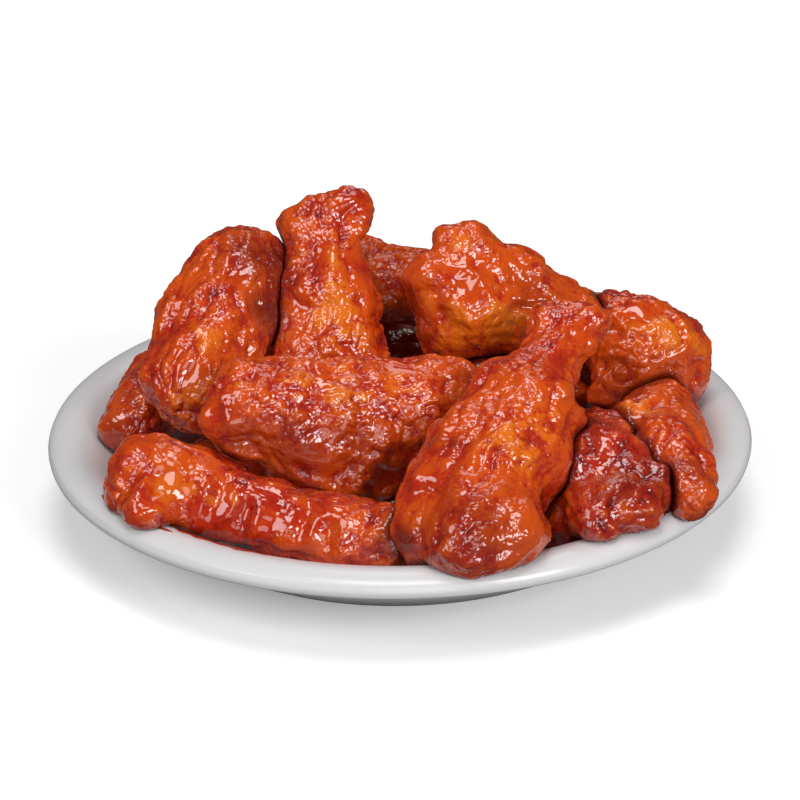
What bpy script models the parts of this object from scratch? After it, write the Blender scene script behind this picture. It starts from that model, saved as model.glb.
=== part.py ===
"""A serving of sauced chicken wings, heaped on a round white plate.

The plate is one turned solid. Each drumette (the upper joint, a knuckle, a neck and a fat end)
and each flat (the middle joint, two bones side by side) is a solid of its own.
Lengths are in millimetres here, and MM turns them into Blender's metres.
+Z is up, the plate stands on Z = 0 with its centre at the origin, and the front faces -Y.
"""

import bpy
import numpy as np
from mathutils import Matrix

MM = 0.001

# The plate: a flat well, a wall that rises to a rounded crest, and an edge that rolls down past it.
PLATE_RADIUS = 115.0
EDGE_HEIGHT = 24.8
CREST_RADIUS = 108.0
CREST_HEIGHT = 28.5
WELL_RADIUS = 72.0
WELL_HEIGHT = 4.2
OUTER_WALL = ((112.5, 21.6), (106.0, 20.2), (99.0, 15.2), (92.0, 9.2), (85.0, 4.4), (79.5, 1.0))
FOOT_OUTER_RADIUS = 78.0
FOOT_INNER_RADIUS = 73.5
FOOT_RECESS = 1.3
PLATE_STEPS = 44

# The wings.
RINGS = 18
AROUND = 13
CAP_SHARE = 0.28
REACH = 52.0
MARCH_STEPS = 46
BISECTIONS = 12
PEAK_LIMIT = 1.12
LIMB_BLEND = 5.0
CONTACT_BLEND = 1.2
WING_GAP = 0.9
PLATE_GAP = 1.3
LUMP_HEIGHT = 0.5
LUMP_WAVELENGTH = 26.0

# Colours (linear RGB) and roughness.
PLATE_WHITE = (0.82, 0.80, 0.80)
AMBER = (0.62, 0.16, 0.02)
ORANGE = (0.52, 0.10, 0.02)
RED = (0.40, 0.06, 0.02)
DARK = (0.24, 0.04, 0.02)


def clear_scene():
    for old in list(bpy.data.objects):
        bpy.data.objects.remove(old, do_unlink=True)


def principled(name, colour, roughness):
    material = bpy.data.materials.new(name)
    material.use_nodes = True
    shader = material.node_tree.nodes["Principled BSDF"]
    shader.inputs["Base Color"].default_value = (*colour, 1.0)
    shader.inputs["Roughness"].default_value = roughness
    shader.inputs["Metallic"].default_value = 0.0
    return material


# ---- Plate ----


def eased(share):
    """0 to 1 with level ends."""
    return share * share * (3 - 2 * share)


def plate_height(radius):
    """Height of the plate's upper face: level, then an eased rise, then a quarter ellipse over the edge."""
    rise = np.clip((radius - WELL_RADIUS) / (CREST_RADIUS - WELL_RADIUS), 0, 1)
    roll = np.clip((radius - CREST_RADIUS) / (PLATE_RADIUS - CREST_RADIUS), 0, 0.9)
    drop = (CREST_HEIGHT - EDGE_HEIGHT) * (1 - np.sqrt(1 - roll * roll))
    return WELL_HEIGHT + (CREST_HEIGHT - WELL_HEIGHT) * eased(rise) - drop


def plate_clearance(point):
    """Distance from the plate's upper face, taken square to its slope."""
    radius = np.hypot(point[..., 0], point[..., 1])
    span = CREST_RADIUS - WELL_RADIUS
    rise = np.clip((radius - WELL_RADIUS) / span, 0, 1)
    slope = (CREST_HEIGHT - WELL_HEIGHT) * 6 * rise * (1 - rise) / span
    return (point[..., 2] - plate_height(radius)) / np.sqrt(1 + slope * slope)


def plate_profile():
    """Points (radius, height) from the top centre out over the edge and back under to the bottom centre."""
    wall = np.linspace(WELL_RADIUS, CREST_RADIUS, 8)
    over = [(0.0, WELL_HEIGHT), (WELL_RADIUS * 0.55, WELL_HEIGHT)]
    over += [(r, plate_height(r)) for r in wall]
    over += [(r, plate_height(r)) for r in (111.0, 113.3)]
    edge = [
        (PLATE_RADIUS - 0.4, EDGE_HEIGHT + 0.7),
        (PLATE_RADIUS, EDGE_HEIGHT - 0.6),
        (PLATE_RADIUS - 0.4, EDGE_HEIGHT - 2.2),
    ]
    foot = [
        (FOOT_OUTER_RADIUS, 0.0),
        (FOOT_INNER_RADIUS, 0.0),
        (FOOT_INNER_RADIUS - 1.5, FOOT_RECESS),
        (0.0, FOOT_RECESS),
    ]
    return over + edge + list(OUTER_WALL) + foot


def make_plate(collection):
    profile = [(r * MM, 0.0, z * MM) for r, z in plate_profile()]
    mesh = bpy.data.meshes.new("plate")
    mesh.from_pydata(profile, [(i, i + 1) for i in range(len(profile) - 1)], [])
    mesh.materials.append(principled("plate_glaze", PLATE_WHITE, 0.2))
    plate = bpy.data.objects.new("plate", mesh)
    collection.objects.link(plate)
    screw = plate.modifiers.new("turn", "SCREW")
    screw.axis = "Z"
    screw.steps = PLATE_STEPS
    screw.render_steps = PLATE_STEPS
    screw.use_merge_vertices = True
    screw.merge_threshold = 0.00001
    screw.use_smooth_shade = True
    return plate


# ---- Wings ----


def limb(start, end, start_radius, end_radius, flatness=1.0):
    """A tapered round-ended bar in a wing's own frame, squashed along the frame's up axis by flatness."""
    squash = np.array([1.0, 1.0, 1.0 / flatness])
    return np.array(start) * squash, np.array(end) * squash, start_radius, end_radius, squash


def limb_distance(bar, point):
    """Distance from the bar's centre line, less the radius there: below zero inside."""
    start, end, start_radius, end_radius, squash = bar
    along = end - start
    at = point * squash
    share = np.clip(((at - start) @ along) / (along @ along), 0, 1)
    away = np.linalg.norm(at - start - share[..., None] * along, axis=-1)
    return (away - start_radius - (end_radius - start_radius) * share) / squash[2]


def soft_min(a, b, width):
    """The smaller of a and b, rounded over where they are within width of each other."""
    mix = np.clip(0.5 + 0.5 * (b - a) / width, 0, 1)
    return b + (a - b) * mix - width * mix * (1 - mix)


def soft_max(a, b, width):
    return -soft_min(-a, -b, width)


def drumette(length, fat, neck, knuckle):
    """Two knuckles at the thin end, the neck, the muscle, and two lobes of meat at the fat end."""
    return [
        limb((0, 0.85 * knuckle, 0), (3, 0.80 * knuckle, 0), knuckle, 0.95 * knuckle),
        limb((2, -0.85 * knuckle, 0.1 * knuckle), (4, -0.8 * knuckle, 0.1 * knuckle), 0.9 * knuckle, 0.9 * knuckle),
        limb((0, 0, 0), (0.42 * length, 0, 0), neck, 0.5 * (neck + fat), 0.85),
        limb((0.5 * length, 0, 0.03 * fat), (0.92 * length, 0, 0.03 * fat), 0.82 * fat, 0.9 * fat, 0.9),
        limb((0.66 * length, 0.34 * fat, -0.12 * fat), (0.98 * length, 0.3 * fat, -0.1 * fat), 0.58 * fat, 0.64 * fat),
        limb((0.8 * length, -0.34 * fat, 0.12 * fat), (length, -0.28 * fat, 0.08 * fat), 0.62 * fat, 0.54 * fat),
    ]


def flat(length, width, thickness):
    """Two bones side by side with meat between them and a joint across each end. Half sizes."""
    bone = min(1.0, thickness / (0.62 * width))
    joint = thickness / (0.8 * width)
    return [
        limb((0.02 * length, -0.5 * width, 0), (length, -0.46 * width, 0), 0.5 * width, 0.54 * width, bone),
        limb((0.04 * length, 0.5 * width, 0), (0.97 * length, 0.52 * width, 0), 0.48 * width, 0.48 * width, bone),
        limb(
            (0.22 * length, 0, 0.08 * thickness),
            (0.78 * length, 0.05 * width, 0.08 * thickness),
            0.84 * width,
            0.9 * width,
            thickness / (0.92 * width),
        ),
        limb((0.01 * length, 0.05 * width, 0), (0.05 * length, 0.05 * width, 0), 0.66 * width, 0.72 * width, joint),
        limb((0.95 * length, 0.05 * width, 0), (0.99 * length, 0.05 * width, 0), 0.76 * width, 0.7 * width, joint),
    ]


class Wing:
    """A drumette or a flat that lies from start to end, turned by roll degrees about that line.

    A lobe is a further limb, given in the serving's frame: start, end, start radius, end radius
    and, if it is squashed, its flatness.
    """

    def __init__(self, name, kind, start, end, sizes, colour, roll=0.0, lobes=()):
        self.name = name
        self.colour = colour
        self.start = np.array(start, float)
        along = np.array(end, float) - self.start
        self.length = np.linalg.norm(along)
        along = along / self.length
        up = np.array([0.0, 0.0, 1.0]) if abs(along[2]) < 0.8 else np.array([0.0, -1.0, 0.0])
        up = up - along * (up @ along)
        up = up / np.linalg.norm(up)
        left = np.cross(up, along)
        turn = np.radians(roll)
        left, up = np.cos(turn) * left + np.sin(turn) * up, np.cos(turn) * up - np.sin(turn) * left
        self.frame = np.stack([along, left, up])
        self.limbs = kind(self.length, *sizes)
        for lobe_start, lobe_end, *rest in lobes:
            self.limbs.append(limb(self.local(lobe_start), self.local(lobe_end), *rest))
        self.phase = 0.0

    def local(self, point):
        return (np.asarray(point, float) - self.start) @ self.frame.T

    def world(self, point):
        return point @ self.frame + self.start

    def distance(self, point):
        """The blended limbs, made uneven by three slow waves that differ from wing to wing."""
        at = self.local(point)
        skin = limb_distance(self.limbs[0], at)
        for bar in self.limbs[1:]:
            skin = soft_min(skin, limb_distance(bar, at), LIMB_BLEND)
        x, y, z = (2 * np.pi / LUMP_WAVELENGTH * at[..., i] for i in range(3))
        lumps = np.sin(1.1 * x + 1.3 * np.sin(y + self.phase) + self.phase)
        lumps = lumps + np.sin(0.8 * y + 0.9 * z + 2 * self.phase)
        lumps = lumps + 0.7 * np.sin(1.9 * (x - z) + 3 * self.phase)
        return skin + LUMP_HEIGHT * lumps


WINGS = [
    Wing(
        "drumette_upright", drumette, (-25, 30, 82), (-22, -6, 36), (20, 12, 5), ORANGE,
        lobes=[((-16, 34, 88), (-18, 32, 85), 8, 8), ((-32, 33, 81), (-30, 31, 79), 7.5, 7)],
    ),
    Wing(
        "flat_front_broad", flat, (-49, -46, 52), (21, -29, 43), (16.5, 16), AMBER, roll=62,
        lobes=[
            ((-27, -44, 40), (-2, -36, 37), 17, 18, 0.9),
            ((-24, -46, 31), (-12, -42, 29), 13, 13, 0.9),
            ((26, -31, 42), (14, -30, 44), 6, 10),
            ((-55, -50, 49), (-51, -48, 51), 6, 8),
        ],
    ),
    Wing(
        "flat_leaning_left", flat, (-66, -20, 45), (-50, 26, 73), (17.2, 15), ORANGE, roll=20,
        lobes=[
            ((-72, -8, 50), (-69, 8, 59), 10, 9), ((-71, 5, 66), (-66, 10, 66), 6, 8),
            ((-47, 27, 75), (-46, 22, 66), 8, 8),
            ((-64, -24, 44), (-67, -16, 51), 8, 8),
        ],
    ),
    Wing("flat_left_rim", flat, (-88, -6, 26), (-81, 38, 26), (12, 12), DARK),
    Wing(
        "flat_front_rim", flat, (-78, -58, 33), (-6, -75, 19), (11, 10), AMBER, roll=25,
        lobes=[
            ((-76, -57, 35), (-58, -61, 30), 13, 12),
            ((-83, -60, 33), (-81, -62, 30), 8, 8),
            ((-77, -75, 33), (-74, -68, 31), 7, 8),
            ((-4, -76, 22), (-16, -74, 21), 11, 11),
            ((-8, -101, 33), (-32, -91, 29), 9, 8.5),
        ],
    ),
    Wing(
        "drumette_front", drumette, (54, -22, 70), (20, -80, 36), (21, 6, 7.5), AMBER,
        lobes=[
            ((8, -87, 30), (13, -74, 39), 12, 12),
            ((34, -88, 31), (31, -80, 33), 10, 12),
            ((19, -98, 35.5), (21, -86, 36), 12.5, 15),
            ((30, -97, 35), (27, -84, 36), 11, 13),
            ((48, -50, 47), (40, -62, 42), 9, 14),
        ],
    ),
    Wing(
        "drumette_upper_right", drumette, (65, 22, 53), (21, 8, 66), (19, 9, 7), AMBER,
        lobes=[
            ((17, 12, 85), (24, 12, 83), 6, 7.5),
            ((30, 12, 79), (42, 14, 71), 7, 8),
            ((10, 6, 74), (15, 6, 63), 9, 10),
            ((16, 2, 56), (38, 3, 57), 9, 9),
        ],
    ),
    Wing(
        "flat_back_top", flat, (-20, 40, 59), (24, 40, 56), (15, 14), ORANGE,
        lobes=[((-22, 46, 60), (-14, 50, 66), 8, 8), ((18, 50, 50), (26, 40, 58), 8, 9)],
    ),
    Wing(
        "drumette_right", drumette, (63, 42, 45), (84, 10, 45), (18, 9, 6), ORANGE,
        lobes=[
            ((70, 4, 35), (79, 2, 35), 8, 8),
            ((92, 14, 47), (94, 10, 34), 9, 9),
            ((72, 16, 55), (86, 14, 51), 9, 9),
        ],
    ),
    Wing(
        "drumette_front_right", drumette, (65, -2, 21), (59, -60, 33), (20, 10, 7), RED,
        lobes=[
            ((77, -69, 34), (71, -66, 34), 8, 10),
            ((71, -82, 34), (64, -76, 32), 8, 9),
            ((50, -67, 23), (55, -62, 25), 10, 11),
            ((58, -87, 33), (57, -81, 31), 7.5, 8.5),
            ((57, -42, 38), (63, -42, 37), 9, 9),
        ],
    ),
    Wing(
        "flat_right_rim", flat, (82, -54, 36), (86, 4, 26), (13.5, 13), ORANGE,
        lobes=[
            ((87, -71, 34), (85, -60, 33), 8.5, 10),
            ((74, -34, 39), (80, -22, 35), 9, 10),
            ((87, -20, 34), (88, -34, 32), 8, 8),
        ],
    ),
    Wing("drumette_middle", drumette, (54, 20, 28), (26, 0, 36), (18, 9, 7), DARK),
    Wing("drumette_back_left", drumette, (-76, 36, 26), (-36, 60, 22), (17, 9, 7), RED),
    Wing("drumette_back_right", drumette, (82, 46, 30), (38, 64, 24), (19, 9, 7), ORANGE),
    Wing("drumette_back", drumette, (4, 94, 28), (2, 46, 24), (18, 9, 7), RED),
    Wing("flat_beneath", flat, (-62, -20, 20), (8, -36, 18), (16, 12), DARK),
    Wing(
        "flat_back_left", flat, (-60, 50, 47), (-6, 68, 46), (14, 12), AMBER, roll=-18,
        lobes=[((-62, 58, 44), (-54, 60, 50), 8, 9), ((-16, 78, 42), (-8, 72, 48), 8, 8)],
    ),
]
for number, each in enumerate(WINGS):
    each.phase = 1.7 * number


def pressed_distance(wing, point):
    """The wing's own skin, flattened half way to each wing it meets and pressed flat on the plate."""
    own = wing.distance(point)
    skin = own
    for other in WINGS:
        if other is not wing:
            skin = soft_max(skin, (own - other.distance(point) + WING_GAP) / 2, CONTACT_BLEND)
    return soft_max(skin, PLATE_GAP - plate_clearance(point), CONTACT_BLEND)


def rays(wing):
    """Lines out of the wing's spine: square to it along the middle, fanning over each end to a pole."""
    share = np.arange(1, RINGS) / RINGS
    place = np.clip((share - CAP_SHARE) / (1 - 2 * CAP_SHARE), 0, 1)
    tilt = np.where(share < CAP_SHARE, share / CAP_SHARE, 1.0)
    tilt = np.where(share > 1 - CAP_SHARE, 2 - (1 - share) / CAP_SHARE, tilt) * np.pi / 2
    turn = 2 * np.pi * np.arange(AROUND) / AROUND
    place, _ = np.meshgrid(place, turn, indexing="ij")
    tilt, turn = np.meshgrid(tilt, turn, indexing="ij")
    low, high = 0.04 * wing.length, 0.94 * wing.length
    origins = np.zeros((*place.shape, 3))
    origins[..., 0] = low + (high - low) * place
    ways = np.stack([-np.cos(tilt), np.sin(tilt) * np.cos(turn), np.sin(tilt) * np.sin(turn)], -1)
    origins = np.vstack([origins.reshape(-1, 3), [(low, 0, 0), (high, 0, 0)]])
    ways = np.vstack([ways.reshape(-1, 3), [(-1, 0, 0), (1, 0, 0)]])
    return origins, ways


def skin_points(wing):
    """Where each ray first leaves the pressed wing, found by marching and then halving."""
    origins, ways = rays(wing)

    def outside(reach):
        return pressed_distance(wing, wing.world(origins + ways * reach[:, None])) > 0

    marks = np.linspace(0, REACH, MARCH_STEPS)
    crossed = np.stack([outside(np.full(len(origins), mark)) for mark in marks])
    first = np.maximum(crossed.argmax(axis=0), 1)
    near, far = marks[first - 1], marks[first]
    for _ in range(BISECTIONS):
        middle = (near + far) / 2
        is_out = outside(middle)
        near, far = np.where(is_out, near, middle), np.where(is_out, middle, far)
    return origins + ways * blunted(near)[:, None]


def blunted(reach):
    """No ray longer than its four neighbours' mean by more than the peak limit, so no lone spike."""
    grid = reach[:-2].reshape(RINGS - 1, AROUND)
    rows = np.vstack([grid[:1], grid, grid[-1:]])
    sides = np.roll(grid, 1, axis=1) + np.roll(grid, -1, axis=1)
    mean = (rows[:-2] + rows[2:] + sides) / 4
    return np.concatenate([np.minimum(grid, PEAK_LIMIT * mean).ravel(), reach[-2:]])


def loft_faces():
    """Four-sided faces between neighbouring rings, and a fan of triangles at each pole."""
    rings = RINGS - 1
    first_pole = rings * AROUND
    last_pole = first_pole + 1
    faces = []
    for j in range(AROUND):
        k = (j + 1) % AROUND
        faces.append((first_pole, k, j))
        faces.append((last_pole, (rings - 1) * AROUND + j, (rings - 1) * AROUND + k))
        for i in range(rings - 1):
            here, after = i * AROUND, (i + 1) * AROUND
            faces.append((here + j, here + k, after + k, after + j))
    return faces


def make_wing(wing, parent, collection):
    mesh = bpy.data.meshes.new(wing.name)
    mesh.from_pydata(skin_points(wing) * MM, [], loft_faces())
    mesh.shade_smooth()
    mesh.materials.append(principled(wing.name + "_glaze", wing.colour, 0.35))
    solid = bpy.data.objects.new(wing.name, mesh)
    collection.objects.link(solid)
    solid.parent = parent
    axes = Matrix(wing.frame.T.tolist()).to_4x4()
    solid.matrix_world = Matrix.Translation(wing.start * MM) @ axes
    return solid


def main():
    clear_scene()
    collection = bpy.data.collections.new("chicken_wings_serving")
    bpy.context.scene.collection.children.link(collection)
    serving = bpy.data.objects.new("serving", None)
    collection.objects.link(serving)
    plate = make_plate(collection)
    plate.parent = serving
    for wing in WINGS:
        make_wing(wing, serving, collection)


main()
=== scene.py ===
"""A serving of sauced chicken wings heaped on a round white plate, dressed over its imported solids.

Lengths are in millimetres, and MM turns them into Blender's metres. The heap's front faces -Y.
"""

import bpy
import numpy as np
from mathutils import Matrix, Vector


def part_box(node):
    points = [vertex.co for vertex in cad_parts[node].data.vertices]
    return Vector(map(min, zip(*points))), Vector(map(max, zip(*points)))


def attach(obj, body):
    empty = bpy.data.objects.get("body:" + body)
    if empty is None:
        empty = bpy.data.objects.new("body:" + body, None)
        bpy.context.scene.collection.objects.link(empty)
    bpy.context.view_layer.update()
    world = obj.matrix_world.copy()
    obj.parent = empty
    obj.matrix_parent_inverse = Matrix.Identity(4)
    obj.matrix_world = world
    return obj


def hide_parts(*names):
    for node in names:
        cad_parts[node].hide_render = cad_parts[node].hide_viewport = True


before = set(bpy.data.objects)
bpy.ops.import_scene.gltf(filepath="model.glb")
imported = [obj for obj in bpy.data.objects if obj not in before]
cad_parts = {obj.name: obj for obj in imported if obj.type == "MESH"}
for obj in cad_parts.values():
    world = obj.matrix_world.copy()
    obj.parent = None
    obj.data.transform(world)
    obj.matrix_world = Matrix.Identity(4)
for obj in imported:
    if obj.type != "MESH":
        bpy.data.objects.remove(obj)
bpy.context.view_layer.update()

MM = 0.001


# ---- Camera ----
# A long lens in front of the serving, raised about 24 degrees above the table and leaning
# by less than a degree.

AIM = Vector((0.2, 0.0, 33.8)) * MM
CAMERA_DISTANCE = 800 * MM
CAMERA_ELEVATION = np.radians(24.21)
CAMERA_LEAN = np.radians(-0.773)
LENS = 109.67

camera_data = bpy.data.cameras.new("camera")
camera_data.lens = LENS
camera_data.clip_start = 0.05
camera = bpy.data.objects.new("camera", camera_data)
bpy.context.scene.collection.objects.link(camera)
backward = Vector((0, -np.cos(CAMERA_ELEVATION), np.sin(CAMERA_ELEVATION)))
level_right = Vector((1, 0, 0))
level_up = backward.cross(level_right)
right = level_right * np.cos(CAMERA_LEAN) + level_up * np.sin(CAMERA_LEAN)
upward = level_up * np.cos(CAMERA_LEAN) - level_right * np.sin(CAMERA_LEAN)
turn = Matrix((right, upward, backward)).transposed().to_4x4()
camera.matrix_world = Matrix.Translation(AIM + backward * CAMERA_DISTANCE) @ turn
bpy.context.scene.camera = camera


# ---- Light ----
# A dim surround that looks white, a large soft box over the left shoulder, smaller ones on the
# right and overhead, a weak one behind, which draws the wet edges, and one low in front.


def soft_box(name, place, aim, size, watts):
    """A square area light at place, in metres, turned to face aim."""
    data = bpy.data.lights.new(name, "AREA")
    data.shape = "SQUARE"
    data.size = size
    data.energy = watts
    lamp = bpy.data.objects.new(name, data)
    lamp.location = place
    lamp.rotation_euler = (Vector(aim) - Vector(place)).to_track_quat("-Z", "Y").to_euler()
    bpy.context.scene.collection.objects.link(lamp)


soft_box("soft_box_left", (-1.9, -1.5, 2.1), AIM, 1.5, 28)
soft_box("soft_box_right", (1.6, -2.0, 1.3), AIM, 1.1, 36)
soft_box("soft_box_back", (0.3, 2.0, 2.2), AIM, 1.2, 8)
soft_box("soft_box_above", (0.0, -0.4, 3.2), AIM, 1.3, 30)
soft_box("soft_box_low", (0.3, -2.6, 0.6), AIM, 1.2, 9)

world = bpy.data.worlds.new("surround")
world.use_nodes = True
surround = world.node_tree.nodes["Background"]
surround.inputs["Color"].default_value = (1.0, 1.0, 1.0, 1)
seen = world.node_tree.nodes.new("ShaderNodeLightPath")
glow = world.node_tree.nodes.new("ShaderNodeMapRange")
glow.inputs["To Min"].default_value = 0.24
glow.inputs["To Max"].default_value = 0.04
world.node_tree.links.new(seen.outputs["Is Glossy Ray"], glow.inputs["Value"])
strength = world.node_tree.nodes.new("ShaderNodeMapRange")
strength.inputs["To Max"].default_value = 1.0
world.node_tree.links.new(seen.outputs["Is Camera Ray"], strength.inputs["Value"])
world.node_tree.links.new(glow.outputs["Result"], strength.inputs["To Min"])
world.node_tree.links.new(strength.outputs["Result"], surround.inputs["Strength"])
bpy.context.scene.world = world
bpy.context.scene.view_settings.view_transform = "Standard"


# ---- Floor ----
# A plain pale table top.

FLOOR_SIDE = 6.0

floor_mesh = bpy.data.meshes.new("floor")
half = FLOOR_SIDE / 2
floor_mesh.from_pydata([(-half, -half, 0), (half, -half, 0), (half, half, 0), (-half, half, 0)], [], [(0, 1, 2, 3)])
floor_paint = bpy.data.materials.new("floor_paint")
floor_paint.use_nodes = True
floor_shader = floor_paint.node_tree.nodes["Principled BSDF"]
floor_shader.inputs["Roughness"].default_value = 0.9
floor_shader.inputs["Specular IOR Level"].default_value = 0.0
looked_at = floor_paint.node_tree.nodes.new("ShaderNodeLightPath")
shade = (0.42, 0.42, 0.43, 1)
for kind, colour in (("Is Glossy Ray", (0.1, 0.1, 0.1, 1)), ("Is Camera Ray", (1.0, 1.0, 0.995, 1))):
    mix = floor_paint.node_tree.nodes.new("ShaderNodeMix")
    mix.data_type = "RGBA"
    if isinstance(shade, tuple):
        mix.inputs["A"].default_value = shade
    else:
        floor_paint.node_tree.links.new(shade, mix.inputs["A"])
    mix.inputs["B"].default_value = colour
    floor_paint.node_tree.links.new(looked_at.outputs[kind], mix.inputs["Factor"])
    shade = mix.outputs["Result"]
floor_paint.node_tree.links.new(shade, floor_shader.inputs["Base Color"])
sheen = floor_paint.node_tree.nodes.new("ShaderNodeMix")
sheen.data_type = "RGBA"
sheen.inputs["A"].default_value = (0, 0, 0, 1)
sheen.inputs["B"].default_value = (0.2, 0.2, 0.2, 1)
floor_paint.node_tree.links.new(looked_at.outputs["Is Camera Ray"], sheen.inputs["Factor"])
floor_paint.node_tree.links.new(sheen.outputs["Result"], floor_shader.inputs["Emission Color"])
floor_shader.inputs["Emission Strength"].default_value = 1.0
floor_mesh.materials.append(floor_paint)
floor = bpy.data.objects.new("floor", floor_mesh)
bpy.context.scene.collection.objects.link(floor)


# ---- Plate ----
# White glazed stoneware, turned in one piece: a flat well, a wall that rises to a rounded
# crest, an edge that rolls down past it, and a foot ring.

plate_low, plate_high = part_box("plate")
PLATE_RADIUS = plate_high.x / MM
CREST_HEIGHT = plate_high.z / MM
CREST_RADIUS = PLATE_RADIUS - 7.0
EDGE_HEIGHT = CREST_HEIGHT - 3.7
WELL_RADIUS = 72.0
WELL_HEIGHT = 4.2
OUTER_WALL = ((112.5, 21.6), (106.0, 20.2), (99.0, 15.2), (92.0, 9.2), (85.0, 4.4), (79.5, 1.0))
FOOT = ((78.0, 0.0), (73.5, 0.0), (72.0, 1.3), (0.0, 1.3))
PLATE_TURNS = 240


def eased(share):
    """0 to 1 with level ends: three shares squared less two shares cubed."""
    share = np.clip(share, 0, 1)
    return share * share * (3 - 2 * share)


def plate_height(radius):
    """Height of the upper face: level, then an eased rise, then a quarter ellipse over the edge."""
    rise = eased((radius - WELL_RADIUS) / (CREST_RADIUS - WELL_RADIUS))
    roll = np.clip((radius - CREST_RADIUS) / (PLATE_RADIUS - CREST_RADIUS), 0, 0.9)
    drop = (CREST_HEIGHT - EDGE_HEIGHT) * (1 - np.sqrt(1 - roll * roll))
    return WELL_HEIGHT + (CREST_HEIGHT - WELL_HEIGHT) * rise - drop


def curve_through(points, steps):
    """A smooth line through the points: on each stretch a cubic whose end slopes join the neighbours."""
    points = np.array(points, float)
    before = np.vstack([2 * points[0] - points[1], points[:-2]])
    after = np.vstack([points[2:], 2 * points[-1] - points[-2]])
    t = (np.arange(steps) / steps)[None, :, None]
    p0, p1, p2, p3 = (side[:, None] for side in (before, points[:-1], points[1:], after))
    cubic = p1 + 0.5 * t * (p2 - p0 + t * (2 * p0 - 5 * p1 + 4 * p2 - p3 + t * (3 * (p1 - p2) + p3 - p0)))
    return np.vstack([cubic.reshape(-1, points.shape[1]), points[-1:]])


def closed_mesh(name, grid, first_pole, last_pole):
    """A mesh over a grid of points that closes round its second side, with a fan to a pole at each end."""
    rings, around = grid.shape[:2]
    row, column = np.meshgrid(np.arange(rings - 1), np.arange(around), indexing="ij")
    here = row * around + column
    beside = row * around + (column + 1) % around
    quads = np.stack([here, beside, beside + around, here + around], -1).reshape(-1)
    edge = np.arange(around)
    first = np.stack([np.full(around, rings * around), (edge + 1) % around, edge], -1)
    last_ring = (rings - 1) * around
    last = np.stack([np.full(around, rings * around + 1), last_ring + edge, last_ring + (edge + 1) % around], -1)
    corners = np.concatenate([quads, first.ravel(), last.ravel()])
    sides = np.concatenate([np.full(len(quads) // 4, 4), np.full(2 * around, 3)])
    points = np.vstack([grid.reshape(-1, 3), first_pole, last_pole])
    mesh = bpy.data.meshes.new(name)
    mesh.vertices.add(len(points))
    mesh.vertices.foreach_set("co", (points * MM).astype(np.float32).ravel())
    mesh.loops.add(len(corners))
    mesh.loops.foreach_set("vertex_index", corners.astype(np.int32))
    mesh.polygons.add(len(sides))
    mesh.polygons.foreach_set("loop_start", (np.cumsum(sides) - sides).astype(np.int32))
    mesh.update(calc_edges=True)
    mesh.shade_smooth()
    return mesh


def rest_on_frame(name, mesh, material, slot, *nodes):
    """The finished piece, riding on the serving's one body in place of its solids."""
    mesh.materials.append(material)
    piece = bpy.data.objects.new(name, mesh)
    bpy.context.scene.collection.objects.link(piece)
    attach(piece, "root")
    if nodes:
        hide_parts(*nodes)
    return piece


roll_share = 1 - (1 - np.arange(1, 9) / 8) ** 2
upper_radii = np.concatenate(
    [
        np.linspace(1.0, WELL_RADIUS, 12, endpoint=False),
        np.linspace(WELL_RADIUS, CREST_RADIUS, 40),
        CREST_RADIUS + (PLATE_RADIUS - 0.7 - CREST_RADIUS) * roll_share,
    ]
)
upper_face = np.stack([upper_radii, plate_height(upper_radii)], -1)
edge_bend = curve_through(
    [
        upper_face[-1],
        (PLATE_RADIUS - 0.1, EDGE_HEIGHT + 0.3),
        (PLATE_RADIUS, EDGE_HEIGHT - 0.8),
        (PLATE_RADIUS - 0.6, EDGE_HEIGHT - 2.2),
        *OUTER_WALL,
        FOOT[0],
    ],
    6,
)
foot_line = curve_through(FOOT[:3], 2)
plate_line = np.vstack([upper_face, edge_bend[1:], foot_line[1:], [(60.0, 1.3), (1.0, 1.3)]])
angle = -2 * np.pi * np.arange(PLATE_TURNS) / PLATE_TURNS
plate_grid = np.stack(
    [
        plate_line[:, :1] * np.cos(angle),
        plate_line[:, :1] * np.sin(angle),
        np.repeat(plate_line[:, 1:], PLATE_TURNS, axis=1),
    ],
    -1,
)
plate_mesh = closed_mesh("plate_turned", plate_grid, (0, 0, WELL_HEIGHT), (0, 0, 1.3))

plate_glaze = bpy.data.materials.new("plate_glaze")
plate_glaze.use_nodes = True
glaze = plate_glaze.node_tree.nodes["Principled BSDF"]
glaze.inputs["Base Color"].default_value = (0.7, 0.69, 0.7, 1)
glaze.inputs["Roughness"].default_value = 0.22
rest_on_frame("plate_turned", plate_mesh, plate_glaze, "plate_glaze", "plate")


# ---- Wings ----
# Drumettes and flats of chicken, fried and tossed in sauce. Each is a few limbs of meat and
# bone run together under one skin, and lies pressed against its neighbours and the plate.

LIMB_BLEND = 5.0
CONTACT_BLEND = 1.0
WING_GAP = 0.15
PLATE_GAP = 0.2
LUMP_HEIGHT = 0.5
LUMP_WAVELENGTH = 26.0


def limb(start, end, start_radius, end_radius, flatness=1.0):
    """A tapered round-ended bar in a wing's own frame, squashed along the frame's up axis by flatness."""
    squash = np.array([1.0, 1.0, 1.0 / flatness])
    return np.array(start) * squash, np.array(end) * squash, start_radius, end_radius, squash


def limb_distance(bar, point):
    """Distance from the bar's centre line, less the radius there: below zero inside."""
    start, end, start_radius, end_radius, squash = bar
    along = end - start
    at = point * squash - start
    share = np.clip(at @ along / (along @ along), 0, 1)
    away = at - share[..., None] * along
    away = np.sqrt(np.einsum("...i,...i", away, away))
    return (away - start_radius - (end_radius - start_radius) * share) / squash[2]


def soft_min(a, b, width):
    """The smaller of a and b, rounded over where they are within width of each other."""
    mix = np.clip(0.5 + 0.5 * (b - a) / width, 0, 1)
    return b + (a - b) * mix - width * mix * (1 - mix)


def soft_max(a, b, width):
    """The larger of a and b, rounded in the same way."""
    return -soft_min(-a, -b, width)


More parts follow.
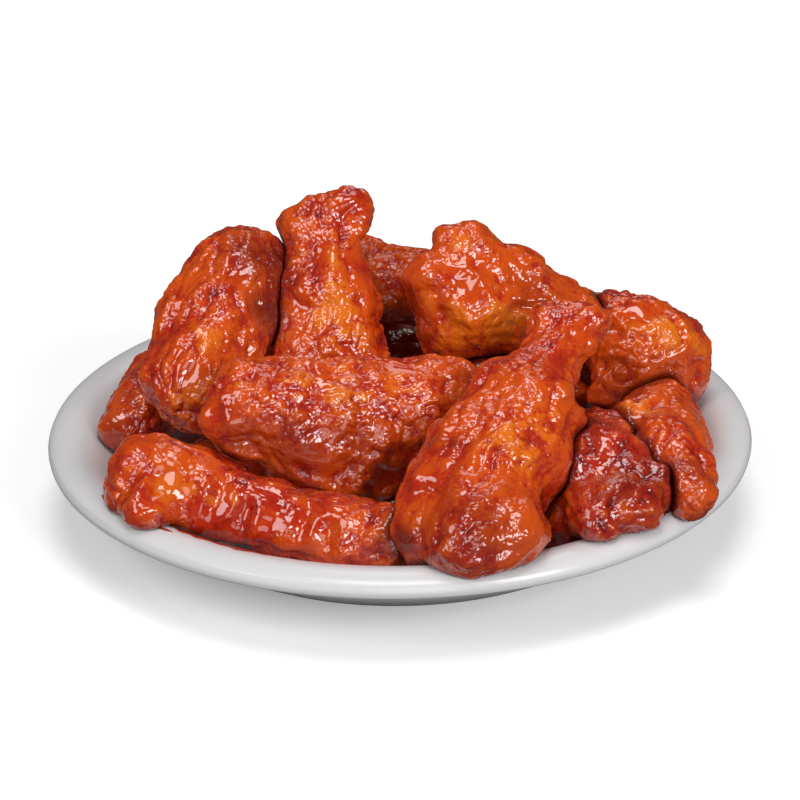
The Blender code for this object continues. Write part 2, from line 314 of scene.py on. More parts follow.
def drumette(length, fat, neck, knuckle):
    """Two knuckles at the thin end, the neck, the muscle, and two lobes of meat at the fat end."""
    return [
        limb((0, 0.85 * knuckle, 0), (3, 0.80 * knuckle, 0), knuckle, 0.95 * knuckle),
        limb((2, -0.85 * knuckle, 0.1 * knuckle), (4, -0.8 * knuckle, 0.1 * knuckle), 0.9 * knuckle, 0.9 * knuckle),
        limb((0, 0, 0), (0.42 * length, 0, 0), neck, 0.5 * (neck + fat), 0.85),
        limb((0.5 * length, 0, 0.03 * fat), (0.92 * length, 0, 0.03 * fat), 0.82 * fat, 0.9 * fat, 0.9),
        limb((0.66 * length, 0.34 * fat, -0.12 * fat), (0.98 * length, 0.3 * fat, -0.1 * fat), 0.58 * fat, 0.64 * fat),
        limb((0.8 * length, -0.34 * fat, 0.12 * fat), (length, -0.28 * fat, 0.08 * fat), 0.62 * fat, 0.54 * fat),
    ]


def flat(length, width, thickness):
    """Two bones side by side with meat between them and a joint across each end. Half sizes."""
    bone = min(1.0, thickness / (0.62 * width))
    joint = thickness / (0.8 * width)
    middle = thickness / (0.92 * width)
    high = 0.08 * thickness
    return [
        limb((0.02 * length, -0.5 * width, 0), (length, -0.46 * width, 0), 0.5 * width, 0.54 * width, bone),
        limb((0.04 * length, 0.5 * width, 0), (0.97 * length, 0.52 * width, 0), 0.48 * width, 0.48 * width, bone),
        limb((0.22 * length, 0, high), (0.78 * length, 0.05 * width, high), 0.84 * width, 0.9 * width, middle),
        limb((0.01 * length, 0.05 * width, 0), (0.05 * length, 0.05 * width, 0), 0.66 * width, 0.72 * width, joint),
        limb((0.95 * length, 0.05 * width, 0), (0.99 * length, 0.05 * width, 0), 0.76 * width, 0.7 * width, joint),
    ]


class Wing:
    """A drumette or a flat that lies from start to end, turned by roll degrees about that line.

    A lobe is a further limb, given in the serving's frame: start, end, start radius, end radius
    and, if it is squashed, its flatness. Looks hold what sets this wing's skin apart.
    """

    def __init__(self, name, kind, start, end, sizes, roll=0.0, lobes=(), **looks):
        self.name = name
        self.looks = looks
        self.start = np.array(start, float)
        along = np.array(end, float) - self.start
        self.length = np.linalg.norm(along)
        along = along / self.length
        up = np.array([0.0, 0.0, 1.0]) if abs(along[2]) < 0.8 else np.array([0.0, -1.0, 0.0])
        up = up - along * (up @ along)
        up = up / np.linalg.norm(up)
        left = np.cross(up, along)
        turn = np.radians(roll)
        left, up = np.cos(turn) * left + np.sin(turn) * up, np.cos(turn) * up - np.sin(turn) * left
        self.frame = np.stack([along, left, up])
        self.limbs = kind(self.length, *sizes)
        for lobe_start, lobe_end, *rest in lobes:
            self.limbs.append(limb(self.local(lobe_start), self.local(lobe_end), *rest))
        self.number = len(heap)
        heap.append(self)

    def local(self, point):
        return (np.asarray(point, float) - self.start) @ self.frame.T

    def world(self, point):
        return point @ self.frame + self.start

    def distance(self, point):
        """The blended limbs, made uneven by three slow waves that differ from wing to wing."""
        at = self.local(point)
        skin = limb_distance(self.limbs[0], at)
        for bar in self.limbs[1:]:
            skin = soft_min(skin, limb_distance(bar, at), LIMB_BLEND)
        phase = 1.7 * self.number
        x, y, z = (2 * np.pi / LUMP_WAVELENGTH * at[..., i] for i in range(3))
        lumps = np.sin(1.1 * x + 1.3 * np.sin(y + phase) + phase)
        lumps = lumps + np.sin(0.8 * y + 0.9 * z + 2 * phase)
        lumps = lumps + 0.7 * np.sin(1.9 * (x - z) + 3 * phase)
        return skin + LUMP_HEIGHT * lumps


heap = []

# Each wing's dark patches are painted shade, in crevices between wings, in pits, and on undersides and sides turned
# from the lamps.
Wing(
    "drumette_upright", drumette, (-25, 30, 82), (-22, -6, 36), (20, 12, 5),
    lobes=[((-16, 34, 88), (-18, 32, 85), 8, 8), ((-32, 33, 81), (-30, 31, 79), 7.5, 7)],
    fold=2.6, pebble=1.1, fine=1.15,
    amber=[((-22, 0, 69), 10, 1.0), ((-18, -5, 60), 9, 0.8), ((-28, 24, 90), 7, 0.7), ((-19, 12, 77), 6, 0.8)],
    smooth=[((-33, 4, 68), 5, 1.0), ((-10, 9, 71), 5, 1.0), ((-14, 28, 92), 5, 1.0), ((-24, 14, 79), 5, 0.8)],
    painted_shade=[((-38, 12, 72), 8, 0.5)],
    lines=[((-14, 28, 92), (-9, 24, 83), 1.5, 0.7), ((-13, 10, 74), (-9, 5, 66), 1.6, 0.7), ((-37, 2, 70), (-38, -4, 60), 1.6, 0.7)],
)
Wing(
    "flat_front_broad", flat, (-49, -46, 52), (21, -29, 43), (16.5, 16), roll=62,
    lobes=[
        ((-27, -44, 40), (-2, -36, 37), 17, 18, 0.9),
        ((-24, -46, 31), (-12, -42, 29), 13, 13, 0.9),
        ((26, -31, 42), (14, -30, 44), 6, 10),
        ((-55, -50, 49), (-51, -48, 51), 6, 8),
    ],
    fold=2.2, pebble=1.1, fine=1.15,
    amber=[((-30, -48, 62), 9, 0.7), ((-15, -50, 59), 10, 0.9), ((0, -46, 57), 9, 0.7), ((-51, -49, 63), 5, 0.6)],
    smooth=[((-55, -54, 54), 7, 1.0)],
    lines=[((-43, -49, 62), (-41, -54, 57), 1.7, 0.7), ((-26, -44, 63), (-20, -47, 62), 1.5, 0.6), ((-54, -54, 59), (-52, -58, 52), 1.6, 0.7)],
    painted_shade=[
        ((-32, -60, 44), 13, 0.6), ((-12, -57, 43), 13, 0.5), ((-48, -58, 46), 9, 0.6), ((-8, -55, 35), 12, 0.5),
    ],
)
Wing(
    "flat_leaning_left", flat, (-66, -20, 45), (-50, 26, 73), (17.2, 15), roll=20,
    lobes=[
        ((-72, -8, 50), (-69, 8, 59), 10, 9), ((-71, 5, 66), (-66, 10, 66), 6, 8),
        ((-47, 27, 75), (-46, 22, 66), 8, 8),
        ((-64, -24, 44), (-67, -16, 51), 8, 8),
    ],
    fold=2.5, tone=-0.12, fine=1.15,
    amber=[((-67, -31, 49), 8, 0.8), ((-61, -18, 63), 8, 0.7), ((-58, -6, 72), 7, 0.6)],
    smooth=[((-66, -26, 57), 5, 0.9), ((-76, -12, 60), 5, 0.9), ((-54, 2, 76), 4, 0.9)],
    lines=[((-70, -20, 62), (-69, -30, 54), 1.7, 0.8), ((-48, 14, 81), (-52, 4, 77), 1.5, 0.6)],
    painted_shade=[((-40, 9, 66), 10, 0.9), ((-41, 4, 62), 11, 1.1), ((-39, 17, 73), 10, 1.1), ((-48, 12, 80), 10, 0.75)],
)
Wing(
    "flat_left_rim", flat, (-88, -6, 26), (-81, 38, 26), (12, 12),
    tone=-0.25, smooth=[((-91, -13, 29), 7, 1.0)], painted_shade=[((-92, -13, 28), 7, 0.5)],
)
Wing(
    "flat_front_rim", flat, (-78, -58, 33), (-6, -75, 19), (11, 10), roll=25,
    lobes=[
        ((-76, -57, 35), (-58, -61, 30), 13, 12),
        ((-83, -60, 33), (-81, -62, 30), 8, 8),
        ((-77, -75, 33), (-74, -68, 31), 7, 8),
        ((-4, -76, 22), (-16, -74, 21), 11, 11),
        ((-8, -101, 33), (-32, -91, 29), 9, 8.5),
    ],
    rib=(9.0, 1.0, (-78, -72, 39), (-16, -84, 26), 9.0), fold=1.4, pebble=0.45, wet=0.2, tone=-0.1, fine=1.15,
    amber=[
        ((-71, -72, 38), 7, 0.9), ((-64, -71, 37), 4, 0.9), ((-57, -73, 35), 4, 0.9), ((-50, -74, 33), 4, 0.8),
        ((-42, -75, 30), 5, 0.7), ((-28, -79, 29), 5, 0.6), ((-80, -66, 41), 6, 0.5),
    ],
    smooth=[((-71, -72, 38), 8, 1.0), ((-57, -74, 34), 8, 1.0), ((-43, -77, 31), 8, 1.0), ((-28, -80, 28), 8, 0.9)],
    painted_shade=[((-46, -57, 38), 7, 0.5), ((-30, -66, 33), 6, 0.4)],
)
Wing(
    "drumette_front", drumette, (54, -22, 70), (20, -80, 36), (21, 6, 7.5),
    lobes=[
        ((8, -87, 30), (13, -74, 39), 12, 12),
        ((34, -88, 31), (31, -80, 33), 10, 12),
        ((19, -102, 33.5), (21, -86, 36), 12.5, 15),
        ((31, -98, 34), (27, -84, 36), 11, 13),
        ((48, -50, 47), (40, -62, 42), 9, 14),
    ],
    fold=2.4, stretch=0.28, fine=1.15,
    amber=[((33, -78, 53), 9, 1.0), ((40, -70, 55), 8, 0.9), ((51, -44, 64), 7, 0.6), ((20, -84, 48), 6, 0.5)],
    smooth=[((10, -72, 52), 6, 1.0), ((19, -87, 48), 5, 1.0), ((4, -86, 42), 6, 0.9), ((56, -34, 71), 5, 0.9)],
    painted_shade=[((11, -73, 53), 3.5, 1.0), ((17, -77, 52), 3.5, 1.0), ((22, -106, 35), 15, 0.7), ((38, -92, 34), 10, 0.5)],
    lines=[
        ((8, -70, 53), (16, -74, 54), 3.0, -1.6), ((52, -36, 69), (40, -62, 60), 1.8, 1.2),
        ((22, -86, 49), (25, -97, 45), 1.6, 0.8), ((8, -76, 52), (6, -84, 46), 1.7, 0.7),
        ((42, -50, 60), (45, -57, 61), 1.5, 0.6), ((30, -76, 55), (38, -77, 53), 1.4, 0.6),
    ],
)
Wing(
    "drumette_upper_right", drumette, (65, 22, 53), (21, 8, 66), (19, 9, 7),
    lobes=[
        ((17, 12, 85), (24, 12, 83), 6, 7.5),
        ((30, 12, 79), (42, 14, 71), 7, 8),
        ((10, 6, 74), (15, 6, 63), 9, 10),
        ((16, 2, 56), (38, 3, 57), 9, 9),
    ],
    fold=2.0, tone=0.25, fine=1.15,
    amber=[((33, -8, 64), 10, 1.1), ((20, -6, 64), 8, 1.0), ((10, 0, 72), 6, 0.7), ((20, 6, 86), 5, 0.6)],
    smooth=[((23, -3, 77), 7, 1.0), ((6, 1, 76), 6, 1.0), ((8, 0, 66), 7, 1.0)],
    painted_shade=[((3, 4, 68), 6, 0.8), ((10, 0, 60), 7, 0.6), ((44, 2, 70), 8, 0.35)],
    lines=[
        ((14, -6, 68), (46, -1, 67), 1.5, -1.3), ((14, -6, 70), (46, -1, 69), 2.2, 1.0),
        ((16, -6, 69), (18, -6, 62), 1.6, 0.7), ((27, -3, 78), (31, -5, 73), 1.6, 0.7),
    ],
)
Wing(
    "flat_back_top", flat, (-20, 40, 59), (24, 40, 56), (15, 14),
    lobes=[((-22, 46, 60), (-14, 50, 66), 8, 8), ((18, 50, 50), (26, 40, 58), 8, 9)],
    tone=0.05, gloss=0.4, amber=[((0, 30, 70), 7, 0.4), ((18, 52, 62), 9, 0.7)], painted_shade=[((0, 28, 52), 12, 0.7)],
)
Wing(
    "drumette_right", drumette, (63, 42, 45), (84, 10, 45), (18, 9, 6),
    lobes=[
        ((70, 4, 35), (79, 2, 35), 8, 8),
        ((92, 14, 47), (94, 10, 34), 9, 9),
        ((72, 16, 55), (86, 14, 51), 9, 9),
    ],
    fold=2.4, pebble=1.1, tone=0.08, fine=1.15,
    amber=[((87, 3, 55), 8, 1.0), ((79, 3, 56), 6, 0.6), ((97, 6, 50), 6, 0.7)],
    smooth=[((79, 8, 60), 6, 0.9), ((90, 1, 47), 4, 0.8)],
    painted_shade=[((72, -3, 42), 8, 0.4), ((82, -2, 40), 8, 0.3)],
    lines=[
        ((72, -1, 46), (90, 0, 44), 1.5, -1.3), ((76, 10, 62), (84, 8, 60), 1.6, 0.7),
        ((86, 3, 55), (94, 7, 53), 1.5, 0.7),
    ],
)
Wing(
    "drumette_front_right", drumette, (65, -2, 21), (59, -60, 33), (20, 10, 7),
    lobes=[
        ((77, -69, 34), (71, -66, 34), 8, 10),
        ((71, -82, 34), (64, -76, 32), 8, 9),
        ((50, -67, 23), (55, -62, 25), 10, 11),
        ((58, -87, 33), (57, -81, 31), 7.5, 8.5),
        ((57, -42, 38), (63, -42, 37), 9, 9),
    ],
    fold=1.8, pebble=0.9, tone=-0.4, fine=1.15,
    amber=[((58, -50, 50), 5, 0.6), ((74, -72, 40), 5, 0.4)],
    lines=[((60, -58, 49), (62, -70, 43), 1.7, 0.7), ((72, -70, 41), (76, -66, 40), 1.5, 0.6)],
    painted_shade=[((50, -72, 38), 10, 0.3), ((70, -78, 38), 14, 0.65), ((60, -92, 33), 10, 0.4)],
)
Wing(
    "flat_right_rim", flat, (82, -54, 36), (86, 4, 26), (13.5, 13),
    lobes=[
        ((87, -71, 34), (85, -60, 33), 8.5, 10),
        ((74, -34, 39), (80, -22, 35), 9, 10),
        ((87, -20, 34), (88, -34, 32), 8, 8),
    ],
    fold=2.4, pebble=1.0, fine=1.15,
    amber=[((74, -36, 46), 7, 1.0), ((82, -52, 46), 6, 0.6), ((90, -66, 41), 5, 0.5)],
    lines=[((80, -44, 46), (83, -54, 47), 1.6, 0.7), ((88, -64, 43), (90, -71, 41), 1.6, 0.7)],
    painted_shade=[((90, -72, 40), 10, 0.35)],
)
Wing("drumette_middle", drumette, (54, 20, 28), (26, 0, 36), (18, 9, 7), tone=-0.1, fine=0.6)
Wing("drumette_back_left", drumette, (-76, 36, 26), (-36, 60, 22), (17, 9, 7), tone=-0.15, fine=0.75)
Wing("drumette_back_right", drumette, (82, 46, 30), (38, 64, 24), (19, 9, 7), fine=0.75)
Wing("drumette_back", drumette, (4, 94, 28), (2, 46, 24), (18, 9, 7), tone=-0.1, fine=0.75, painted_shade=[((2, 38, 38), 20, 0.8)])
Wing("flat_beneath", flat, (-62, -20, 20), (8, -36, 18), (16, 12), tone=-0.2, fine=0.6)
Wing(
    "flat_back_left", flat, (-60, 50, 47), (-6, 68, 46), (14, 12), roll=-18,
    lobes=[((-62, 58, 44), (-54, 60, 50), 8, 9), ((-16, 78, 42), (-8, 72, 48), 8, 8)],
    fine=0.85, amber=[((-44, 66, 58), 9, 0.8), ((-12, 76, 52), 7, 0.7)],
)


# ---- Wings: skin ----
# The skin is followed outwards from each wing's spine. Then it is raised along its own
# normals into folds, blisters and fine pebbles, and smoothed where sauce has pooled.

RINGS = 190
AROUND = 176
CAP_SHARE = 0.2
TRACE_STEPS = 26


def plate_clearance(point):
    """Distance from the plate's upper face, taken square to its slope."""
    radius = np.hypot(point[..., 0], point[..., 1])
    span = CREST_RADIUS - WELL_RADIUS
    rise = np.clip((radius - WELL_RADIUS) / span, 0, 1)
    slope = (CREST_HEIGHT - WELL_HEIGHT) * 6 * rise * (1 - rise) / span
    return (point[..., 2] - plate_height(radius)) / np.sqrt(1 + slope * slope)


def rays(wing, rings, around):
    """Lines out of the wing's spine: square to it along the middle, fanning over each end to a pole."""
    share = np.arange(1, rings) / rings
    place = np.clip((share - CAP_SHARE) / (1 - 2 * CAP_SHARE), 0, 1)
    tilt = np.where(share < CAP_SHARE, share / CAP_SHARE, 1.0)
    tilt = np.where(share > 1 - CAP_SHARE, 2 - (1 - share) / CAP_SHARE, tilt) * np.pi / 2
    turn = 2 * np.pi * np.arange(around) / around
    place, _ = np.meshgrid(place, turn, indexing="ij")
    tilt, turn = np.meshgrid(tilt, turn, indexing="ij")
    low, high = 0.04 * wing.length, 0.94 * wing.length
    origins = np.zeros((*place.shape, 3))
    origins[..., 0] = low + (high - low) * place
    ways = np.stack([-np.cos(tilt), np.sin(tilt) * np.cos(turn), np.sin(tilt) * np.sin(turn)], -1)
    origins = np.vstack([origins.reshape(-1, 3), [(low, 0, 0), (high, 0, 0)]])
    ways = np.vstack([ways.reshape(-1, 3), [(-1, 0, 0), (1, 0, 0)]])
    return wing.world(origins), ways @ wing.frame


def traced(wing, others, rings, around):
    """Skin points: each ray goes out from the spine by the depth still left under the pressed skin,
    which never takes it past, until the depth is spent."""
    origins, ways = rays(wing, rings, around)
    reach = np.zeros(len(origins))
    for _ in range(TRACE_STEPS):
        point = origins + ways * reach[:, None]
        own = wing.distance(point)
        skin = own
        for other in others:
            skin = soft_max(skin, (own - other.distance(point) + WING_GAP) / 2, CONTACT_BLEND)
        skin = soft_max(skin, PLATE_GAP - plate_clearance(point), CONTACT_BLEND)
        reach = reach + 0.85 * np.maximum(-skin, 0)
    return origins + ways * reach[:, None]


def neighbours(wing):
    """The wings that come within a few millimetres of this one's own skin."""
    skin = traced(wing, [], 26, 20)
    return [other for other in heap if other is not wing and other.distance(skin).min() < 4]


def scatter(cells, salt):
    """A share from 0 to 1 for each cell of whole numbers, mixed by multiplying and folding bits."""
    mixed = cells[..., 0] * 73856093 ^ cells[..., 1] * 19349663 ^ cells[..., 2] * 83492791 ^ salt * 6542989
    mixed = mixed & 0x7FFFFFFF
    mixed = ((mixed ^ (mixed >> 13)) * 1274126177) & 0x7FFFFFFF
    mixed = ((mixed ^ (mixed >> 15)) * 1103515245) & 0x7FFFFFFF
    return (mixed >> 8 & 0xFFFF) / 65535.0


def cloud(points, size, salt):
    """Smooth uneven values from about -1 to 1, with lumps about size across: each cell corner pulls
    in a scattered direction, and the eight pulls are eased together."""
    at = points / size
    base = np.floor(at).astype(np.int64)
    part = at - base
    ease = part**3 * (part * (6 * part - 15) + 10)
    total = np.zeros(len(points))
    for corner in np.ndindex(2, 2, 2):
        cell = base + corner
        value = 0
        weight = 1
        for axis in range(3):
            value = value + (part[:, axis] - corner[axis]) * (2 * scatter(cell, salt + axis) - 1)
            weight = weight * (ease[:, axis] if corner[axis] else 1 - ease[:, axis])
        total += weight * value
    return 1.5 * total


def pebbles(points, size, salt):
    """Rounded bumps from 0 in the seams to 1 on top: one less the squared distance to the nearest of
    the points scattered one to a cell."""
    at = points / size
    base = np.floor(at).astype(np.int64)
    nearest = np.full(len(points), 9.0)
    for corner in np.ndindex(3, 3, 3):
        cell = base + corner - 1
        away = [cell[:, axis] + scatter(cell, salt + axis) - at[:, axis] for axis in range(3)]
        nearest = np.minimum(nearest, away[0] ** 2 + away[1] ** 2 + away[2] ** 2)
    return np.clip(1 - nearest / 0.55, 0, 1)


def normals(grid, first_pole, last_pole):
    """Unit normals of a grid closed round its second side: the cross product of its two slopes."""
    rows = np.concatenate([np.broadcast_to(first_pole, (1, *grid.shape[1:])), grid])
    rows = np.concatenate([rows, np.broadcast_to(last_pole, (1, *grid.shape[1:]))])
    across = np.roll(grid, -1, axis=1) - np.roll(grid, 1, axis=1)
    normal = np.cross(across, rows[2:] - rows[:-2])
    return normal / np.maximum(np.linalg.norm(normal, axis=-1, keepdims=True), 1e-9)


def line_distance(points, start, end):
    """Distance from the points to the straight line between two places."""
    start, end = np.array(start, float), np.array(end, float)
    along = end - start
    share = np.clip((points - start) @ along / max(along @ along, 1e-9), 0, 1)
    return np.linalg.norm(points - start - share[:, None] * along, axis=-1)


def patches(points, spots):
    """From 0 to each spot's strength at its middle, falling off with the cube of the distance over its
    radius."""
    share = np.zeros(len(points))
    for place, radius, strength in spots:
        away = ((points - place) ** 2).sum(-1) / radius**2
        share = np.maximum(share, strength * np.exp(-(away**1.5)))
    return share


def dressed_skin(wing, rings, around):
    """The wing's grid with its relief, and the masks that its colours need."""
    others = neighbours(wing)
    skin = traced(wing, others, rings, around)
    grid = skin[:-2].reshape(rings - 1, around, 3)
    normal = normals(grid, skin[-2], skin[-1]).reshape(-1, 3)
    ends = skin[-2:] - wing.world(np.array([[0.04 * wing.length, 0, 0], [0.94 * wing.length, 0, 0]]))
    normal = np.vstack([normal, ends / np.linalg.norm(ends, axis=1, keepdims=True)])

    # Clearance to the other wings and the plate. The relief fades towards the contacts, and the skin is painted darker
    # there: painted contact shade, carried with the shade patches.
    free = plate_clearance(skin)
    for other in others:
        free = np.minimum(free, other.distance(skin))
    free = eased((free - 0.3) / 3.5)

    looks = wing.looks
    at = wing.local(skin) + 100 * wing.number
    salt = 10 * wing.number
    stretched = at * (looks.get("stretch", 0.5), 1, 1)
    warp = np.stack([cloud(at, 14, salt + 3 * i) for i in range(3)], -1)
    wet = cloud(at + 3 * warp, 15, salt + 1) + looks.get("wet", 0.0)
    sauce = eased((wet - 0.38) / 0.3)
    uneven = skin + 3 * warp
    sauce = np.maximum(sauce, np.clip(1.3 * patches(uneven, looks.get("smooth", ())), 0, 1))
    for start, end, width, rise in looks.get("lines", ()):
        if rise > 0:
            sauce = np.maximum(sauce, np.exp(-((line_distance(uneven, start, end) / (1.4 * width)) ** 4)))
    folds = np.abs(cloud(stretched + 3 * warp, 10, salt + 2))
    small_folds = np.abs(cloud(stretched + 3 * warp, 4.5, salt + 4))
    bumps = 0.65 * pebbles(at + 0.8 * warp, 3.3, salt + 5) + 0.35 * pebbles(at, 1.9, salt + 8)
    rough = (1 - 0.85 * sauce) * (0.7 + 0.5 * cloud(at, 9, salt + 6))
    height = looks.get("fold", 1.9) * (folds - 0.3)
    height = height + looks.get("crease", 1.1) * (small_folds - 0.3) * (1 - 0.4 * sauce)
    height = height + looks.get("pebble", 0.85) * (bumps - 0.4) * rough
    if "rib" in looks:
        spacing, rib, start, end, width = looks["rib"]
        wave = np.sin(2 * np.pi * (wing.local(skin)[:, 0] + 2 * warp[:, 0]) / spacing)
        height = height + rib * wave * np.exp(-((line_distance(skin, start, end) / width) ** 2))
    amber = patches(uneven, looks.get("amber", ()))
    # Patches of painted shade, in crevices, pits and the undersides turned from the lamps.
    painted_shade = patches(uneven, looks.get("painted_shade", ()))
    for start, end, width, rise in looks.get("lines", ()):
        height = height + rise * np.exp(-((line_distance(uneven, start, end) / width) ** 2))
    skin = skin + normal * (height * free)[:, None]
    masks = {
        "rise": 0.42 + 0.5 * (folds - 0.3) + 0.45 * (small_folds - 0.3) + 0.5 * (bumps - 0.5) * rough,
        "sauce": sauce,
        "amber": amber,
        # The shade mask: painted shade from the patches and from the contacts.
        "painted_shade": np.maximum(painted_shade, 1 - free),
        "warm": 0.5 + 0.5 * cloud(at, 22, salt + 7) + looks.get("tone", 0.0),
    }
    return skin, masks


# ---- Wings: sauce and skin colours ----

def linear(red, green, blue):
    """A colour given from 0 to 255 as a screen shows it, as the linear shares a shader needs."""
    share = np.array([red, green, blue]) / 255
    return (*np.where(share < 0.04, share / 12.92, ((share + 0.055) / 1.055) ** 2.4), 1.0)


# The first colour below is painted shade, laid in crevices, pits, undersides and where wings touch; the other four run
# from maroon to amber across the skin.
SHADE_RED = linear(90, 16, 13)
MAROON = linear(116, 22, 16)
RED = linear(180, 42, 20)
ORANGE = linear(212, 80, 16)
AMBER = linear(228, 112, 22)


def add_node(tree, kind, **values):
    node = tree.nodes.new("ShaderNode" + kind)
    for key, value in values.items():
        if key.startswith("in_"):
            node.inputs[int(key[3:])].default_value = value
        else:
            setattr(node, key, value)
    return node


def mixed(tree, share, first, second):
    """A colour that goes from first to second with share. Each may be a socket or a colour."""
    node = add_node(tree, "Mix", data_type="RGBA")
    for socket, value in ((node.inputs["Factor"], share), (node.inputs["A"], first), (node.inputs["B"], second)):
        if isinstance(value, bpy.types.NodeSocket):
            tree.links.new(value, socket)
        else:
            socket.default_value = value
    return node.outputs["Result"]


def worked(tree, operation, first, second=0.0, third=0.0):
    node = add_node(tree, "Math", operation=operation)
    for socket, value in zip(node.inputs, (first, second, third)):
        if isinstance(value, bpy.types.NodeSocket):
            tree.links.new(value, socket)
        else:
            socket.default_value = value
    return node.outputs[0]


def ramped(tree, value, low, high, start=0.0, end=1.0):
    """Value, eased from start to end between low and high."""
    node = add_node(tree, "MapRange", interpolation_type="SMOOTHSTEP")
    tree.links.new(value, node.inputs["Value"])
    node.inputs["From Min"].default_value = low
    node.inputs["From Max"].default_value = high
    node.inputs["To Min"].default_value = start
    node.inputs["To Max"].default_value = end
    return node.outputs["Result"]


def sauced_skin_group():
    """Colour, roughness and fine height of sauced skin from the masks that each wing carries."""
    tree = bpy.data.node_groups.new("sauced_skin", "ShaderNodeTree")
    for name in ("Rise", "Sauce", "Amber", "Painted_shade", "Warm"):
        tree.interface.new_socket(name, in_out="INPUT", socket_type="NodeSocketFloat")
    tree.interface.new_socket("Color", in_out="OUTPUT", socket_type="NodeSocketColor")
    tree.interface.new_socket("Roughness", in_out="OUTPUT", socket_type="NodeSocketFloat")
    tree.interface.new_socket("Height", in_out="OUTPUT", socket_type="NodeSocketFloat")
    given = tree.nodes.new("NodeGroupInput")
    result = tree.nodes.new("NodeGroupOutput")
    place = add_node(tree, "TexCoord").outputs["Object"]
    grain = add_node(tree, "TexNoise")
    grain.inputs["Scale"].default_value = 900
    grain.inputs["Detail"].default_value = 4
    tree.links.new(place, grain.inputs["Vector"])
    blotch = add_node(tree, "TexNoise")
    blotch.inputs["Scale"].default_value = 160
    blotch.inputs["Detail"].default_value = 5
    tree.links.new(place, blotch.inputs["Vector"])
    level = worked(tree, "ADD", given.outputs["Rise"], worked(tree, "MULTIPLY_ADD", grain.outputs["Fac"], 0.8, -0.4))
    level = worked(tree, "ADD", level, worked(tree, "MULTIPLY_ADD", blotch.outputs["Fac"], 1.2, -0.6))
    level = worked(tree, "ADD", level, worked(tree, "MULTIPLY_ADD", given.outputs["Warm"], 0.5, -0.25))
    # Low on the rise the skin runs to maroon and red, high to orange and amber: sauce lies thicker in the seams and
    # creases, and their darkening is also painted shade.
    colour = mixed(tree, ramped(tree, level, -0.25, 0.1), MAROON, RED)
    colour = mixed(tree, ramped(tree, level, 0.08, 0.5), colour, ORANGE)
    high = ramped(tree, worked(tree, "ADD", level, given.outputs["Amber"]), 0.8, 1.4)
    colour = mixed(tree, high, colour, AMBER)
    pooled = worked(tree, "MULTIPLY", given.outputs["Sauce"], 0.3)
    colour = mixed(tree, pooled, colour, RED)
    # Painted shade: where the shade mask is high, the colour is darkened towards the deep shade red.
    colour = mixed(tree, worked(tree, "MULTIPLY", given.outputs["Painted_shade"], 0.8), colour, SHADE_RED)
    rough = ramped(tree, given.outputs["Sauce"], 0.0, 1.0, 0.15, 0.07)
    ripple = add_node(tree, "TexNoise")
    ripple.inputs["Scale"].default_value = 500
    ripple.inputs["Detail"].default_value = 1
    tree.links.new(place, ripple.inputs["Vector"])
    cells = add_node(tree, "TexVoronoi", feature="SMOOTH_F1")
    cells.inputs["Scale"].default_value = 700
    cells.inputs["Smoothness"].default_value = 0.8
    tree.links.new(place, cells.inputs["Vector"])
    height = worked(tree, "MULTIPLY_ADD", cells.outputs["Distance"], -0.8, ripple.outputs["Fac"])
    height = worked(tree, "MULTIPLY", height, ramped(tree, given.outputs["Sauce"], 0.2, 1.0, 1.0, 0.08))
    tree.links.new(colour, result.inputs["Color"])
    tree.links.new(rough, result.inputs["Roughness"])
    tree.links.new(height, result.inputs["Height"])
    return tree


skin_group = sauced_skin_group()


def skin_material(name, gloss):
    material = bpy.data.materials.new(name)
    material.use_nodes = True
    tree = material.node_tree
    shader = tree.nodes["Principled BSDF"]
    group = tree.nodes.new("ShaderNodeGroup")
    group.node_tree = skin_group
    for mask in ("Rise", "Sauce", "Amber", "Painted_shade", "Warm"):
        carried = add_node(tree, "Attribute", attribute_name=mask.lower())
        tree.links.new(carried.outputs["Fac"], group.inputs[mask])
    bump = add_node(tree, "Bump")
    bump.inputs["Distance"].default_value = 0.34 * MM
    bump.inputs["Strength"].default_value = 1.0
    tree.links.new(group.outputs["Height"], bump.inputs["Height"])
    tree.links.new(bump.outputs["Normal"], shader.inputs["Normal"])
    tree.links.new(group.outputs["Color"], shader.inputs["Base Color"])
    tree.links.new(group.outputs["Roughness"], shader.inputs["Roughness"])
    shader.inputs["Specular IOR Level"].default_value = gloss
    shader.inputs["Coat Weight"].default_value = 0.12
    shader.inputs["Coat Roughness"].default_value = 0.05
    return material


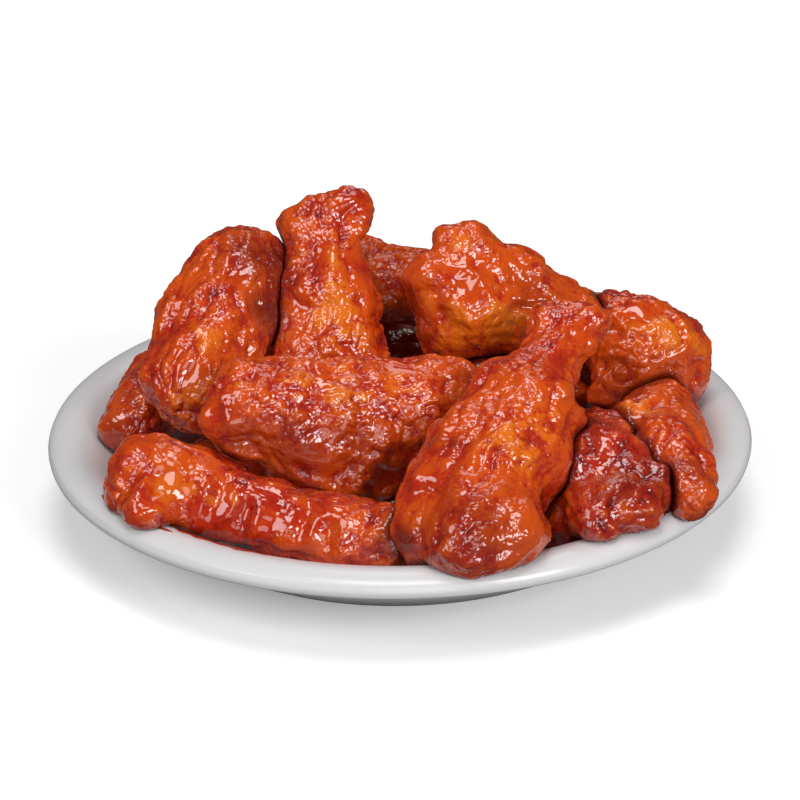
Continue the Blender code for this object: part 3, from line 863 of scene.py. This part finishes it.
for wing in heap:
    fine = wing.looks.get("fine", 1.0)
    rings, around = int(RINGS * fine), int(AROUND * fine)
    skin, masks = dressed_skin(wing, rings, around)
    mesh = closed_mesh(wing.name + "_skin", skin[:-2].reshape(rings - 1, around, 3), skin[-2], skin[-1])
    for mask, values in masks.items():
        attribute = mesh.attributes.new(mask, "FLOAT", "POINT")
        attribute.data.foreach_set("value", values.astype(np.float32))
    material = skin_material(wing.name + "_sauce", wing.looks.get("gloss", 0.9))
    rest_on_frame(wing.name + "_skin", mesh, material, "sauced_skin", wing.name)


# ---- Sauce on the plate ----
# What ran off the wings: films of sauce round the left end and along the front of the long flat,
# and one beside the right-hand wings.

SAUCE_STEPS = 14
SAUCE_AROUND = 20
UNDER_GLAZE = 0.12


def smear(name, path, half_width, height):
    """Sauce along a line on the plate: across it half an ellipse, and a little way into the glaze
    below. It narrows to nothing at both ends as the root of a sine."""
    line = curve_through(path, SAUCE_STEPS)
    share = np.linspace(0, 1, len(line))
    along = np.gradient(line, axis=0)
    along = along / np.linalg.norm(along, axis=1, keepdims=True)
    side = np.stack([-along[:, 1], along[:, 0]], -1)
    level_line = np.hstack([line, np.zeros((len(line), 1))])
    swell = np.sqrt(np.sin(np.pi * share[1:-1])) * (1 + 0.6 * cloud(level_line, 5, len(path)))[1:-1]
    turn = -2 * np.pi * np.arange(SAUCE_AROUND) / SAUCE_AROUND
    flat_grid = line[1:-1, None] + side[1:-1, None] * (half_width * swell[:, None] * np.cos(turn))[..., None]
    up = np.sin(turn)
    raised = np.where(up > 0, height * swell[:, None] * up, UNDER_GLAZE * up)
    level = plate_height(np.linalg.norm(flat_grid, axis=-1)) + raised
    ends = [(*line[i], plate_height(np.linalg.norm(line[i]))) for i in (0, -1)]
    mesh = closed_mesh(name, np.concatenate([flat_grid, level[..., None]], -1), *ends)
    rest_on_frame(name, mesh, sauce_film, "sauce")


sauce_film = bpy.data.materials.new("sauce_film")
sauce_film.use_nodes = True
film = sauce_film.node_tree.nodes["Principled BSDF"]
film.inputs["Base Color"].default_value = linear(158, 46, 22)
film.inputs["Roughness"].default_value = 0.12
smear("sauce_by_the_long_flat", [(-92, -56), (-87, -66), (-79, -74), (-68, -82)], 1.4, 0.35)
smear("sauce_below_the_long_flat", [(-71, -73), (-55, -83), (-41, -90), (-25, -97)], 5.0, 0.35)
smear("sauce_by_the_right_wings", [(66, -84), (73, -79), (79, -73), (83, -67)], 2.4, 0.4)
